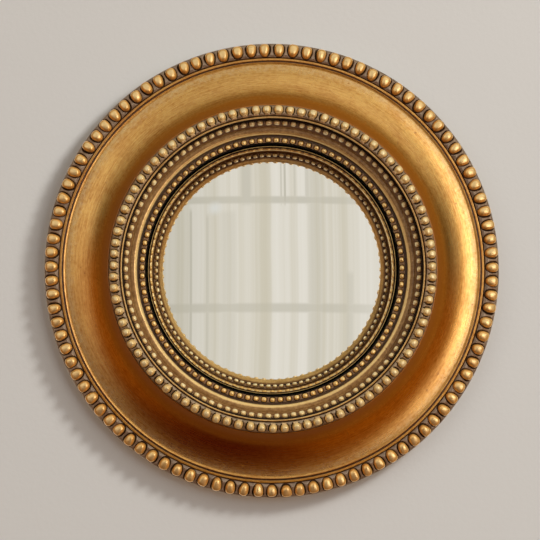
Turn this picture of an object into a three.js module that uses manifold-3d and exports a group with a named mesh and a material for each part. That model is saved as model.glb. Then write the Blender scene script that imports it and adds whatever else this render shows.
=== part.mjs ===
// Round convex mirror in a gilt, beaded frame. Millimetres, +Z up, the glass looks towards -Y.
// The origin is on the wall, where the hook carries the hanger's ring.
import * as THREE from 'three';
import * as BufferGeometryUtils from 'three/addons/utils/BufferGeometryUtils.js';
import Module from 'manifold-3d';

const wasm = await Module();
wasm.setup();

// Fits
const fitGap = 0.3; // clearance between pieces that seat on each other
const glassPlay = 1; // room round the glass in its rebate
const eyeClearance = 0.2; // running clearance of the D-ring in the strap's eye

// Glass and what holds it, from the back forward
const sightRadius = 104.9; // visible glass
const glassOverlap = 3.6; // glass hidden behind the slip
const glassCurve = 160; // radius of the glass's front
const glassThickness = 3;
const slipShow = 1; // visible width of the black slip
const slipThickness = 1;
const packingThickness = 1.6;
const packingWidth = 6.2;
const retainingThickness = 3.1;
const retainingInside = 10.5; // reach of the retaining ring inside the glass's rebate
const retainingOutside = 10.6; // and outside it, where its screws go
const boardThickness = 2.3;
const boardOutside = 8; // reach of the backing board beyond the retaining ring

// Collar ring, from the glass outwards
const lipThickness = 1.3; // wood over the slip at the sight edge
const sightRowWidth = 4.4;
const grooveWidth = 1.9; // dark groove between the innermost beads and the reed
const reedHalfWidth = 4.6;
const reedRise = 4.8;
const reedSweep = 115; // degrees of the reed's rounding
const reedToMiddle = 2.6;
const middleRowWidth = 6.9;
const middleRowTilt = -57.5; // degrees, negative faces the glass
const middleRowDrop = 8.3; // from the crest fillet down to the row's upper edge
const filletWidth = 1.4;
const filletRise = 2.1;
const filletToCollarRow = 0.5;
const collarRowWidth = 9.2;
const collarRowTilt = 23; // degrees, positive faces outwards
const collarWall = 2.6; // plain wall between the cove and the collar beads
const collarLedge = 0.3;
const spigotWall = 4.1; // wood behind the crest fillet
const spigotLedge = 6.4; // wood of the cove ring below the collar ring
const flangeDepth = 1.3; // how far the collar's flange is let into the cove ring

// Cove ring
const coveWidth = 35.4;
const coveRise = 19;
const coveStartSlope = 3; // degrees at the cove's outer edge
const coveLand = 0.9; // flat between the cove and the collar
const shoulderWidth = 2.7;
const shoulderRise = 0.6;
const creaseWidth = 0.8;
const creaseDepth = 1;
const rimFilletWidth = 1.2;
const rimHeight = 12; // rim fillet above the frame's back
const rimRowSink = 1.9; // how far the rim row's seat lies below the fillet
const rimRowWidth = 12.4;
const rimRowTilt = 18.4;
const rimOverhang = 1.2; // how far the rim beads stand out from the side wall
const backChamfer = 1;

// Bead mouldings: a strip, thick at its middle (web) and thinner at its edges, with beads on it.
// Crests are measured across the strip from its inner edge; halfWidths are shares of the pitch.
const rimBeads = {
  pitch: 11.63, web: 2.4, edge: 1.6, proud: 5,
  crests: [3.4, 8.2], halfWidths: [0.1, 0.16, 0.24, 0.24],
};
const collarBeads = {
  pitch: 9.47, web: 2.2, edge: 1.3, proud: 4.6,
  crests: [2.4, 6.6], halfWidths: [0.14, 0.19, 0.22, 0.22],
};
const middleBeads = { pitch: 7.02, web: 0.9, edge: 0.7, proud: 2.3, crests: [3.4] };
const sightBeads = { pitch: 6.85, web: 0.7, edge: 0.6, proud: 2.2, crests: [2.2] };

// Hanger and wall side
const bumperThickness = 5; // wall to the frame's back
const bumperRadius = 8;
const bumperTopRadius = 6.5;
const bumperInset = 17.9; // side wall to the bumpers' centres
const bumperCount = 4;
const wireRadius = 1.1;
const ringHalfWidth = 9; // wire centre to wire centre is twice this
const ringLeg = 8.5; // straight side of the D
const ringCorner = 2.5;
const sheetThickness = 0.8;
const strapWidth = 12;
const strapLength = 33; // eye centre to the strap's lower end
const strapToBoard = 3.2; // frame left between the strap and the backing board
const strapHoles = [11, 27]; // from the eye's centre

// Screws
const screws = {
  retaining: { count: 6, shank: 1.4, length: 11, head: 3, headHeight: 1.8, countersunk: true },
  board: { count: 6, shank: 1.2, length: 7.6, head: 2.8, headHeight: 1.3, countersunk: false },
  hanger: { shank: 1.4, length: 11, head: 3, headHeight: 1.3, countersunk: false },
};

const domedHeadFlat = 0.75; // flat top of a domed head, as a share of its radius

// Facets
const ringSegments = 44;
const coveSteps = 5;
const reedSteps = 4;
const glassFrontSteps = 5;
const glassBackSteps = 3;
const hiddenSegments = ringSegments / 2; // rings that the glass and the board cover
const bumperSides = 12;
const screwSides = 8;
const wireSides = 8;

const radians = THREE.MathUtils.degToRad;
const point = (r, h) => new THREE.Vector2(r, h); // distance from the axis, height above the frame's back

// Points of an arc of an ellipse, angles in degrees, both ends included
function arc(centre, radiusR, radiusH, from, to, steps) {
  const points = [];
  for (let i = 0; i <= steps; i += 1) {
    const angle = radians(from + ((to - from) * i) / steps);
    points.push(point(centre.x + radiusR * Math.cos(angle), centre.y + radiusH * Math.sin(angle)));
  }
  return points;
}

// Turns a section about the mirror's axis. The section closes on itself or starts and ends on the axis.
function turned(section, segments = ringSegments) {
  const profile = section.map((p) => point(p.x, -p.y));
  if (THREE.ShapeUtils.area(profile) < 0) profile.reverse();
  const meetsAxis = profile[0].x === 0 && profile[profile.length - 1].x === 0;
  if (!meetsAxis) profile.push(profile[0].clone());
  return new THREE.LatheGeometry(profile, segments);
}

function meshGeometry(positions, indices) {
  const geometry = new THREE.BufferGeometry();
  geometry.setAttribute('position', new THREE.Float32BufferAttribute(positions, 3));
  geometry.setIndex(indices);
  geometry.computeVertexNormals();
  return geometry;
}

function toManifold(geometry) {
  const bare = geometry.clone();
  bare.deleteAttribute('normal');
  bare.deleteAttribute('uv');
  const merged = BufferGeometryUtils.mergeVertices(bare, 1e-4);
  return new wasm.Manifold(new wasm.Mesh({
    numProp: 3,
    vertProperties: new Float32Array(merged.attributes.position.array),
    triVerts: new Uint32Array(merged.index.array),
  }));
}

function fromManifold(solid) {
  const mesh = solid.getMesh();
  return meshGeometry(Array.from(mesh.vertProperties), Array.from(mesh.triVerts));
}

function cut(geometry, tools) {
  let solid = toManifold(geometry);
  for (const tool of tools) solid = solid.subtract(toManifold(tool));
  return fromManifold(solid);
}

// A seat is a straight line in the section on which a moulding lies. s runs outwards along it, t off it.
function makeSeat(inner, width, tilt) {
  const angle = radians(tilt);
  const along = point(Math.cos(angle), -Math.sin(angle));
  const normal = point(Math.sin(angle), Math.cos(angle));
  const at = (s, t) => inner.clone().addScaledVector(along, s).addScaledVector(normal, t);
  return { width, at };
}

// Levels of the pieces behind the glass, from the frame's back forward
const boardTop = boardThickness;
const retainingBase = boardTop + fitGap;
const retainingTop = retainingBase + retainingThickness;
const packingBase = retainingTop + fitGap;
const packingTop = packingBase + packingThickness;
const glassBase = packingTop + fitGap;

// The glass's front and all that lies parallel to it are arcs about one centre on the axis
const glassRadius = sightRadius + glassOverlap;
const glassBack = glassCurve - glassThickness;
const glassCentre = glassBase - Math.sqrt(glassBack ** 2 - glassRadius ** 2);
const domeHeight = (radius, r) => glassCentre + Math.sqrt(radius ** 2 - r ** 2);
const slipBack = glassCurve + fitGap;
const slipFront = slipBack + slipThickness;
const lipBack = slipFront + fitGap;
const rebateRadius = glassRadius + glassPlay;
const retainingBore = rebateRadius - retainingInside;
const retainingRadius = rebateRadius + retainingOutside;
const boardRadius = retainingRadius + boardOutside;

// Radii and heights of the collar ring
const lipRadius = sightRadius + slipShow;
const sightLevel = domeHeight(lipBack, lipRadius) + lipThickness;
const sightRowOuter = lipRadius + sightRowWidth;
const reedInner = sightRowOuter + grooveWidth;
const reedCentre = point(reedInner + reedHalfWidth, sightLevel);
const reed = arc(reedCentre, reedHalfWidth, reedRise, 180, 180 - reedSweep, reedSteps);
const middleInner = reed[reed.length - 1].x + reedToMiddle;
const middleOuter = middleInner + middleRowWidth * Math.cos(radians(middleRowTilt));
const collarRowInner = middleOuter + filletWidth + filletToCollarRow;
const collarRowOuter = collarRowInner + collarRowWidth * Math.cos(radians(collarRowTilt));
const flangeRadius = collarRowOuter + collarLedge;
const spigotRadius = collarRowInner + spigotWall;
const coveInner = flangeRadius + fitGap + coveLand;

// Radii and heights of the cove ring
const coveOuter = coveInner + coveWidth;
const creaseInner = coveOuter + shoulderWidth;
const rimFilletInner = creaseInner + creaseWidth;
const rimRowInner = rimFilletInner + rimFilletWidth + fitGap;
const coveBase = rimHeight + shoulderRise;
const coveTop = coveBase + coveRise;
const flangeSeat = coveTop - flangeDepth;
const collarFoot = coveTop + collarWall;
const collarRowHeight = collarFoot + collarRowWidth * Math.sin(radians(collarRowTilt));
const crestHeight = collarRowHeight + filletRise;
const middleFoot = crestHeight - middleRowDrop + middleRowWidth * Math.sin(radians(middleRowTilt));
const ledgeTop = retainingBase + spigotLedge;

const rimSeat = makeSeat(point(rimRowInner, rimHeight - rimRowSink + fitGap), rimRowWidth, rimRowTilt);
const collarSeat = makeSeat(point(collarRowInner, collarRowHeight), collarRowWidth, collarRowTilt);
const middleSeat = makeSeat(point(middleInner, middleFoot), middleRowWidth, middleRowTilt);
const sightSeat = makeSeat(point(lipRadius, sightLevel + fitGap), sightRowWidth, 0);
const sideRadius = rimSeat.at(rimSeat.width, 0).x - rimOverhang;

// The cove is one circular hollow that leaves the shoulder at coveStartSlope and steepens to the collar
function coveSection() {
  const endSlope = 2 * THREE.MathUtils.radToDeg(Math.atan2(coveRise, coveWidth)) - coveStartSlope;
  const chord = Math.hypot(coveRise, coveWidth);
  const radius = chord / (2 * Math.sin(radians(endSlope - coveStartSlope) / 2));
  const centre = point(
    coveOuter + radius * Math.sin(radians(coveStartSlope)),
    coveBase + radius * Math.cos(radians(coveStartSlope)),
  );
  return arc(centre, radius, radius, 270 - coveStartSlope, 270 - endSlope, coveSteps);
}

function coveRing() {
  const seatOuter = rimSeat.at((sideRadius - rimRowInner) / Math.cos(radians(rimRowTilt)), -fitGap);
  const boardRebate = boardRadius + fitGap;
  const retainingRebate = retainingRadius + fitGap;
  const bore = spigotRadius + fitGap;
  return turned([
    point(boardRebate, 0),
    point(sideRadius - backChamfer, 0),
    point(sideRadius, backChamfer),
    seatOuter,
    rimSeat.at(-fitGap, -fitGap),
    point(rimRowInner - fitGap, rimHeight),
    point(rimFilletInner, rimHeight),
    point(creaseInner + creaseWidth / 2, rimHeight - creaseDepth),
    point(creaseInner, rimHeight),
    ...coveSection(),
    point(coveInner - coveLand, coveTop),
    point(coveInner - coveLand, flangeSeat),
    point(bore, flangeSeat),
    point(bore, ledgeTop),
    point(retainingRebate, ledgeTop),
    point(retainingRebate, retainingBase),
    point(boardRebate, retainingBase),
  ]);
}

function collarRing() {
  const crestInner = middleOuter;
  const crestOuter = crestInner + filletWidth;
  const spigotBase = ledgeTop + fitGap;
  const rebateTop = domeHeight(lipBack, rebateRadius);
  return turned([
    point(rebateRadius, packingBase),
    point(retainingRadius, packingBase),
    point(retainingRadius, spigotBase),
    point(spigotRadius, spigotBase),
    point(spigotRadius, flangeSeat + fitGap),
    point(flangeRadius, flangeSeat + fitGap),
    collarSeat.at(collarSeat.width + collarLedge, -fitGap),
    collarSeat.at(-fitGap, -fitGap),
    point(crestOuter, crestHeight - filletWidth / 2),
    point((crestInner + crestOuter) / 2, crestHeight),
    point(crestInner, crestHeight - filletWidth / 2),
    middleSeat.at(middleSeat.width + fitGap, -fitGap),
    middleSeat.at(-fitGap, -fitGap),
    ...reed.slice().reverse(),
    point(lipRadius, sightLevel),
    point(lipRadius, domeHeight(lipBack, lipRadius)),
    point(rebateRadius, rebateTop),
  ]);
}

// A strip of beads bent into a ring. Each pitch has one section between beads, where every point lies on
// the web, and one or two through the bead, where the crest points stand proud of it.
function beadMoulding(beads, seat) {
  const count = Math.round((2 * Math.PI * seat.at(seat.width / 2, 0).x) / beads.pitch);
  const crossing = [0, ...beads.crests, seat.width];
  const isCrest = (i) => i > 0 && i < crossing.length - 1;
  const front = (i, proud) => {
    const thickness = isCrest(i) ? beads.web + proud : beads.edge;
    return seat.at(crossing[i], thickness);
  };
  const sides = beads.halfWidths ? [-1, 1] : [0];
  const stationsPerPitch = sides.length + 1;
  const positions = [];
  const indices = [];
  const addVertex = (p, turn) => {
    const angle = 2 * Math.PI * turn;
    positions.push(p.x * Math.sin(angle), -p.y, p.x * Math.cos(angle));
  };
  for (let bead = 0; bead < count; bead += 1) {
    addVertex(seat.at(0, 0), bead / count);
    addVertex(seat.at(seat.width, 0), bead / count);
    crossing.forEach((_, i) => addVertex(front(i, 0), bead / count));
    for (const side of sides) {
      crossing.forEach((_, i) => {
        const shift = beads.halfWidths ? side * beads.halfWidths[i] : 0;
        addVertex(front(i, beads.proud), (bead + 0.5 + shift) / count);
      });
    }
  }
  const perPitch = 2 + stationsPerPitch * crossing.length;
  const total = perPitch * count;
  const at = (bead, offset) => (bead * perPitch + offset) % total;
  const footAt = (bead, outer) => at(bead, outer ? 1 : 0);
  const frontAt = (bead, station, i) => {
    const nextBead = bead + Math.floor(station / stationsPerPitch);
    return at(nextBead, 2 + (station % stationsPerPitch) * crossing.length + i);
  };
  const last = crossing.length - 1;
  const middle = Math.ceil(stationsPerPitch / 2);
  for (let bead = 0; bead < count; bead += 1) {
    for (let station = 0; station < stationsPerPitch; station += 1) {
      for (let i = 0; i < last; i += 1) {
        const a = frontAt(bead, station, i);
        const b = frontAt(bead, station, i + 1);
        const c = frontAt(bead, station + 1, i + 1);
        const d = frontAt(bead, station + 1, i);
        // the crease of a folded face runs round the bead, never up to its crest
        const roundsInner = (station < middle) === (i < last / 2);
        if (roundsInner) indices.push(a, d, b, b, d, c);
        else indices.push(a, c, b, a, d, c);
      }
      // each side wall is a fan between one foot per pitch and the edge of the front
      const foot = station < middle ? bead : bead + 1;
      indices.push(footAt(foot, false), frontAt(bead, station + 1, 0), frontAt(bead, station, 0));
      indices.push(footAt(foot, true), frontAt(bead, station, last), frontAt(bead, station + 1, last));
    }
    indices.push(footAt(bead, false), footAt(bead + 1, false), frontAt(bead, middle, 0));
    indices.push(footAt(bead, true), frontAt(bead, middle, last), footAt(bead + 1, true));
    indices.push(footAt(bead, false), footAt(bead + 1, true), footAt(bead + 1, false));
    indices.push(footAt(bead, false), footAt(bead, true), footAt(bead + 1, true));
  }
  return meshGeometry(positions, indices);
}

// The dome's outline from the apex to the rim
function domeArc(radius, rimRadius, steps) {
  const half = THREE.MathUtils.radToDeg(Math.asin(rimRadius / radius));
  return arc(point(0, glassCentre), radius, radius, 90, 90 - half, steps).map((p, i) => {
    if (i === 0) p.x = 0;
    return p;
  });
}

function convexGlass() {
  const front = domeArc(glassCurve, glassRadius, glassFrontSteps);
  const back = domeArc(glassBack, glassRadius, glassBackSteps);
  return turned([...front, ...back.reverse()]);
}

function sightSlip() {
  const outer = rebateRadius - fitGap;
  return turned([
    point(outer, domeHeight(slipBack, outer)),
    point(outer, domeHeight(slipFront, outer)),
    point(sightRadius, domeHeight(slipFront, sightRadius)),
    point(sightRadius, domeHeight(slipBack, sightRadius)),
  ]);
}

function flatRing(inner, outer, base, top) {
  const section = [point(inner, base), point(outer, base), point(outer, top), point(inner, top)];
  return turned(section, hiddenSegments);
}

// A screw lies on the Y axis with its tip towards -Y. A domed head stands on y = 0, a countersunk one
// ends there.
function screwShape(screw) {
  const head = screw.countersunk
    ? [point(screw.shank, screw.headHeight), point(screw.head, 0), point(0, 0)]
    : [point(screw.shank, 0), point(screw.head, 0),
      point(screw.head * domedHeadFlat, -screw.headHeight), point(0, -screw.headHeight)];
  return turned([point(0, screw.length), point(screw.shank, screw.length), ...head], screwSides);
}

// The hole for a screw's shank and for a countersunk head, wider by the fit
function screwHole(screw) {
  const shank = screw.shank + fitGap;
  const head = screw.countersunk ? screw.head + fitGap : shank;
  const headHeight = screw.countersunk ? screw.headHeight : 0;
  const above = screw.headHeight;
  return turned([
    point(0, screw.length + fitGap),
    point(shank, screw.length + fitGap),
    point(shank, headHeight),
    point(head, 0),
    point(head, -above),
    point(0, -above),
  ].filter((p, i, all) => i === 0 || p.distanceTo(all[i - 1]) > 0), screwSides);
}

// Moves a piece made on the axis to its place on the frame's back, the angle counted from the top
function placed(geometry, place) {
  const copy = geometry.clone();
  const x = place.radius * Math.sin(place.angle);
  const z = place.radius * Math.cos(place.angle);
  copy.translate(x, -place.height, z);
  return copy;
}

function circlePlaces(count, radius, height) {
  const places = [];
  for (let i = 0; i < count; i += 1) {
    places.push({ angle: (2 * Math.PI * (i + 0.5)) / count, radius, height });
  }
  return places;
}

// Hanger: the strap lies on the frame's back, its eye at the upper end. Heights behind the back are
// negative.
const eyeInner = wireRadius + eyeClearance;
const eyeOuter = eyeInner + sheetThickness;
const eyeRadius = boardRadius + strapToBoard + strapLength;
const eyeHeight = -fitGap - eyeOuter;
const ringReach = ringLeg + ringHalfWidth;
const ringRest = -fitGap - wireRadius;
const ringLean = Math.asin((ringRest - eyeHeight) / ringReach);
const hookDrop = eyeRadius + (ringReach - wireRadius) * Math.cos(ringLean); // mirror axis to hook
const strapTop = -fitGap - sheetThickness;

const retainingCircle = (rebateRadius + retainingRadius) / 2;
const boardCircle = (retainingRadius + boardRadius) / 2;
const places = {
  retaining: circlePlaces(screws.retaining.count, retainingCircle, retainingBase),
  board: circlePlaces(screws.board.count, boardCircle, -fitGap),
  hanger: strapHoles.map((hole) => ({ angle: 0, radius: eyeRadius - hole, height: strapTop - fitGap })),
  bumper: circlePlaces(bumperCount, sideRadius - bumperInset, 0),
};
const holesFor = (kind) => places[kind].map((place) => placed(screwHole(screws[kind]), place));

// Sheet bent round the D-ring's bar: a side view with its eye at the origin, given the strap's width,
// then trimmed to a round end and drilled
function hangerStrap() {
  const joint = Math.asin((eyeOuter - sheetThickness) / eyeOuter);
  const side = new THREE.Shape();
  side.moveTo(-strapLength, -eyeOuter);
  side.lineTo(0, -eyeOuter);
  side.absarc(0, 0, eyeOuter, -Math.PI / 2, Math.PI + joint, false);
  side.lineTo(-strapLength, -eyeOuter + sheetThickness);
  const eye = new THREE.Path();
  eye.absarc(0, 0, eyeInner, 0, 2 * Math.PI, true);
  side.holes.push(eye);
  const bent = new THREE.ExtrudeGeometry(side, {
    depth: strapWidth, bevelEnabled: false, curveSegments: 8,
  });
  bent.rotateY(-Math.PI / 2);
  bent.translate(strapWidth / 2, 0, 0);
  const plan = new THREE.Shape();
  const endRadius = strapWidth / 2;
  plan.moveTo(endRadius, 2 * eyeOuter);
  plan.lineTo(-endRadius, 2 * eyeOuter);
  plan.absarc(0, endRadius - strapLength, endRadius, Math.PI, 2 * Math.PI, false);
  const trim = new THREE.ExtrudeGeometry(plan, {
    depth: 4 * eyeOuter, bevelEnabled: false, curveSegments: 6,
  });
  trim.rotateX(Math.PI / 2);
  trim.translate(0, 2 * eyeOuter, 0);
  const trimmed = fromManifold(toManifold(bent).intersect(toManifold(trim)));
  trimmed.translate(0, -eyeHeight, eyeRadius);
  return cut(trimmed, holesFor('hanger'));
}

// Wire ring in the X-Z plane: a straight bar through the strap's eye, two legs and a round arch
function hangerRing() {
  const corner = (x, from) => arc(point(x, ringCorner), ringCorner, ringCorner, from, from + 90, 3);
  const path = [
    ...corner(ringHalfWidth - ringCorner, 270),
    ...arc(point(0, ringLeg), ringHalfWidth, ringHalfWidth, 0, 180, 10),
    ...corner(ringCorner - ringHalfWidth, 180),
  ];
  const positions = [];
  const indices = [];
  path.forEach((p, i) => {
    const before = path[(i + path.length - 1) % path.length];
    const after = path[(i + 1) % path.length];
    const direction = after.clone().sub(before).normalize();
    for (let side = 0; side < wireSides; side += 1) {
      const angle = (2 * Math.PI * (side + 0.5)) / wireSides;
      const outwards = wireRadius * Math.cos(angle);
      const x = p.x + direction.y * outwards;
      const z = p.y - direction.x * outwards;
      positions.push(x, wireRadius * Math.sin(angle), z);
    }
    for (let side = 0; side < wireSides; side += 1) {
      const nextSide = (side + 1) % wireSides;
      const nextPoint = (i + 1) % path.length;
      const a = i * wireSides + side;
      const b = i * wireSides + nextSide;
      const c = nextPoint * wireSides + nextSide;
      const d = nextPoint * wireSides + side;
      indices.push(a, b, c, a, c, d);
    }
  });
  return meshGeometry(positions, indices);
}

function wallBumper() {
  const face = -bumperThickness;
  const bevel = bumperRadius - bumperTopRadius;
  return turned([
    point(0, -fitGap),
    point(bumperRadius, -fitGap),
    point(bumperRadius, face + bevel),
    point(bumperTopRadius, face),
    point(0, face),
  ], bumperSides);
}

function finish(color, roughness, metalness) {
  return new THREE.MeshStandardMaterial({ color, roughness, metalness });
}

const materials = {
  gilt: finish(0xb07a2c, 0.38, 0.85),
  rimGilt: finish(0xd08a34, 0.34, 0.85),
  paleGilt: finish(0xd9b577, 0.36, 0.85),
  black: finish(0x15120f, 0.6, 0),
  mirror: finish(0xdcdcd6, 0.03, 1),
  felt: finish(0x4a4a46, 0.95, 0),
  plywood: finish(0xb08d5f, 0.75, 0),
  hardboard: finish(0x6d4c33, 0.8, 0),
  steel: finish(0xb9b7b0, 0.35, 1),
  brass: finish(0xb8964e, 0.35, 1),
  rubber: finish(0x2b2a28, 0.9, 0),
};

// The frame's own group has its origin on the mirror's axis, in the plane of the frame's back
const frame = new THREE.Group();
frame.position.set(0, -bumperThickness, -hookDrop);

function addPiece(name, geometry, material) {
  const piece = new THREE.Mesh(geometry, material);
  piece.name = name;
  frame.add(piece);
  return piece;
}

const packingInner = rebateRadius - fitGap - packingWidth;
addPiece('cove_ring', cut(coveRing(), [...holesFor('board'), ...holesFor('hanger')]), materials.gilt);
addPiece('collar_ring', cut(collarRing(), holesFor('retaining')), materials.gilt);
addPiece('rim_bead_moulding', beadMoulding(rimBeads, rimSeat), materials.rimGilt);
addPiece('collar_bead_moulding', beadMoulding(collarBeads, collarSeat), materials.paleGilt);
addPiece('middle_bead_moulding', beadMoulding(middleBeads, middleSeat), materials.paleGilt);
addPiece('sight_bead_moulding', beadMoulding(sightBeads, sightSeat), materials.rimGilt);
addPiece('sight_slip', sightSlip(), materials.black);
addPiece('convex_glass', convexGlass(), materials.mirror);
const packing = flatRing(packingInner, rebateRadius - fitGap, packingBase, packingTop);
addPiece('glass_packing', packing, materials.felt);
const retainer = flatRing(retainingBore, retainingRadius, retainingBase, retainingTop);
addPiece('retaining_ring', cut(retainer, holesFor('retaining')), materials.plywood);
const board = turned([
  point(0, 0),
  point(boardRadius, 0),
  point(boardRadius, boardTop),
  point(0, boardTop),
]);
addPiece('backing_board', cut(board, holesFor('board')), materials.hardboard);
addPiece('hanger_strap', hangerStrap(), materials.brass);
const ring = addPiece('hanger_ring', hangerRing(), materials.brass);
ring.position.set(0, -eyeHeight, eyeRadius);
ring.rotation.x = ringLean;

for (const kind of ['retaining', 'board', 'hanger']) {
  places[kind].forEach((place, i) => {
    addPiece(`${kind}_screw_${i + 1}`, placed(screwShape(screws[kind]), place), materials.steel);
  });
}
places.bumper.forEach((place, i) => {
  addPiece(`wall_bumper_${i + 1}`, placed(wallBumper(), place), materials.rubber);
});

const mirror = new THREE.Group();
mirror.add(frame);

export default mirror;
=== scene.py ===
import math

import bmesh
import bpy
from mathutils import Matrix, Vector


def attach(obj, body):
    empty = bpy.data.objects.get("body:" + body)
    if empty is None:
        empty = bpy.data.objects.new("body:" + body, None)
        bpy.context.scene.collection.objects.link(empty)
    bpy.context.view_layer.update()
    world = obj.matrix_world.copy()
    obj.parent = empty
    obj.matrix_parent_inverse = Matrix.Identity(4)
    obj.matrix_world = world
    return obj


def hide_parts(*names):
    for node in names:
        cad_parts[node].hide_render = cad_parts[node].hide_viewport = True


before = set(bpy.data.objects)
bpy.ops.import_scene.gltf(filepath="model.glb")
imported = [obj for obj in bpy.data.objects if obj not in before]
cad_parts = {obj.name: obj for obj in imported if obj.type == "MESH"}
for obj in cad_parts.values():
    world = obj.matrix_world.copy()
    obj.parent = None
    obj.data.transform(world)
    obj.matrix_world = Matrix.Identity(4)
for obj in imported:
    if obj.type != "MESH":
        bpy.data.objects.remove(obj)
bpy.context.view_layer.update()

# Sizes are in millimetres here and metres in the scene.
# r is the distance from the mirror's axis, h the height in front of the frame's back.
mm = 0.001
backY = -0.005
axisZ = -0.180673
scene = bpy.context.scene


# small helpers

def place(r, turn, h):
    # turn is counted in radians from the top, clockwise as seen from the front
    return Vector((r * math.sin(turn) * mm, backY - h * mm, axisZ + r * math.cos(turn) * mm))


def softStep(value, low, high):
    t = min(1.0, max(0.0, (value - low) / (high - low)))
    return t * t * (3 - 2 * t)


def signedPower(value, power):
    return math.copysign(abs(value) ** power, value)


def newPiece(name, mesh, *materials):
    piece = bpy.data.objects.new(name, mesh)
    scene.collection.objects.link(piece)
    for material in materials:
        mesh.materials.append(material)
    return piece


def settle(piece, body, slot, *nodes):
    # a finished piece rides with its body and stands for its nodes
    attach(piece, body)
    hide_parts(*nodes)


def evaluatedMesh(piece):
    graph = bpy.context.evaluated_depsgraph_get()
    return bpy.data.meshes.new_from_object(piece.evaluated_get(graph))


def bake(piece):
    # modifiers become plain mesh
    mesh, old = evaluatedMesh(piece), piece.data
    piece.modifiers.clear()
    piece.data = mesh
    bpy.data.meshes.remove(old)
    mesh.name = piece.name


corners = {
    "steps": 3,
    "straight": 160,    # degrees: a corner wider than this stays as it is
    "share": 0.4,       # of the shorter side beside it, the most that a rounding takes
    "flank": 1.2,       # where the short straight ends, in roundings from the corner
}


def softened(section, radius):
    # rounds the corners of a closed section, with a short straight beside each so that flats shade flat
    result = []
    steps, share, flank = corners["steps"], corners["share"], corners["flank"]
    for i, corner in enumerate(section):
        here = Vector(corner)
        before = Vector(section[i - 1]) - here
        after = Vector(section[(i + 1) % len(section)]) - here
        if math.degrees(before.angle(after)) > corners["straight"]:
            result.append(corner)
            continue
        reach = min(radius, before.length * share, after.length * share)
        start = here + before.normalized() * reach
        end = here + after.normalized() * reach
        result.append(tuple(here + before.normalized() * reach * flank))
        for k in range(steps + 1):
            t = k / steps
            result.append(tuple(start * (1 - t) ** 2 + here * 2 * t * (1 - t) + end * t * t))
        result.append(tuple(here + after.normalized() * reach * flank))
    return result


def cleaned(mesh, smooth=True):
    work = bmesh.new()
    work.from_mesh(mesh)
    bmesh.ops.recalc_face_normals(work, faces=work.faces)
    for face in work.faces:
        face.smooth = smooth
    work.to_mesh(mesh)
    work.free()
    return mesh


def meshOf(name, verts, faces, mask=None, kinds=None, smooth=True):
    # mask is each point's share of patina, painted shade and painted highlight, kinds the number of each face's
    # material
    mesh = bpy.data.meshes.new(name)
    mesh.from_pydata(verts, [], faces)
    if kinds:
        mesh.polygons.foreach_set("material_index", kinds)
    if mask:
        mesh.attributes.new("recess", "FLOAT", "POINT").data.foreach_set("value", mask)
    return cleaned(mesh, smooth)


def lathed(name, outline, sides, spot, closed=False, recess=None, surface=None, smooth=True):
    # turns an outline of (r, h) about an axis; spot says where r, turn and h are in space
    verts, mask, rings, faces, kinds = [], [], [], [], []
    for r, h in outline:
        turns = [2 * math.pi * k / sides for k in range(sides if r else 1)]
        rings.append(range(len(verts), len(verts) + len(turns)))
        verts += [spot(r, turn, h) for turn in turns]
        mask += [recess(r, h) if recess else 0] * len(turns)
    for i in range(len(outline) if closed else len(outline) - 1):
        j = (i + 1) % len(outline)
        a, b = rings[i], rings[j]
        for k in range(sides):
            n = (k + 1) % sides
            around = (a[k % len(a)], a[n % len(a)], b[n % len(b)], b[k % len(b)])
            faces.append(list(dict.fromkeys(around)))
            kinds.append(surface(outline[i], outline[j]) if surface else 0)
    return meshOf(name, verts, faces, recess and mask, surface and kinds, smooth)


# camera and stage

view = {
    "distance": 4500,           # mm, camera to the mirror
    "below": 2.6,               # degrees under the mirror's axis
    "left": 1.6,                # degrees to its left
    "frameWidth": 449.6,        # mm across the picture at the mirror
    "aim": (-1.7, -17, 0.15),   # mm: right of the mirror's axis, from the wall, up from the axis
    "sensor": 36,               # mm
    "clipEnd": 100,             # metres
}


def makeCamera():
    data = bpy.data.cameras.new("camera")
    camera = bpy.data.objects.new("camera", data)
    scene.collection.objects.link(camera)
    below, left = math.radians(view["below"]), math.radians(view["left"])
    right, depth, up = view["aim"]
    target = Vector((right * mm, depth * mm, axisZ + up * mm))
    back = Vector((-math.sin(left) * math.cos(below), -math.cos(left) * math.cos(below), -math.sin(below)))
    camera.location = target + back * view["distance"] * mm
    camera.rotation_mode = "QUATERNION"
    camera.rotation_quaternion = (-back).to_track_quat("-Z", "Y")
    data.sensor_width = view["sensor"]
    data.lens = view["sensor"] * view["distance"] / view["frameWidth"]
    data.clip_end = view["clipEnd"]
    scene.camera = camera
    scene.view_settings.view_transform = "Standard"
    return back


# node building: sockets and plain values are taken alike

def add(tree, kind, **settings):
    node = tree.nodes.new(kind)
    for key, value in settings.items():
        setattr(node, key, value)
    return node


def feed(tree, socket, value):
    if isinstance(value, bpy.types.NodeSocket):
        tree.links.new(value, socket)
    else:
        socket.default_value = value


def feedAll(tree, node, inputs):
    for key, value in inputs.items():
        feed(tree, node.inputs[key], value)
    return node


def wired(tree, kind, inputs, output=0, **settings):
    # adds a node, feeds its inputs by name or number and gives one of its outputs
    return feedAll(tree, add(tree, kind, **settings), inputs).outputs[output]


def calc(tree, operation, *values):
    return wired(tree, "ShaderNodeMath", dict(enumerate(values)), operation=operation)


def times(tree, first, *others):
    for value in others:
        first = calc(tree, "MULTIPLY", first, value)
    return first


def plus(tree, first, *others):
    for value in others:
        first = calc(tree, "ADD", first, value)
    return first


def distance(tree, value, middle):
    return calc(tree, "ABSOLUTE", calc(tree, "SUBTRACT", value, middle))


def sway(tree, texture, reach):
    # a texture's value about its middle, as a push up and down
    return times(tree, calc(tree, "SUBTRACT", texture, 0.5), reach)


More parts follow.
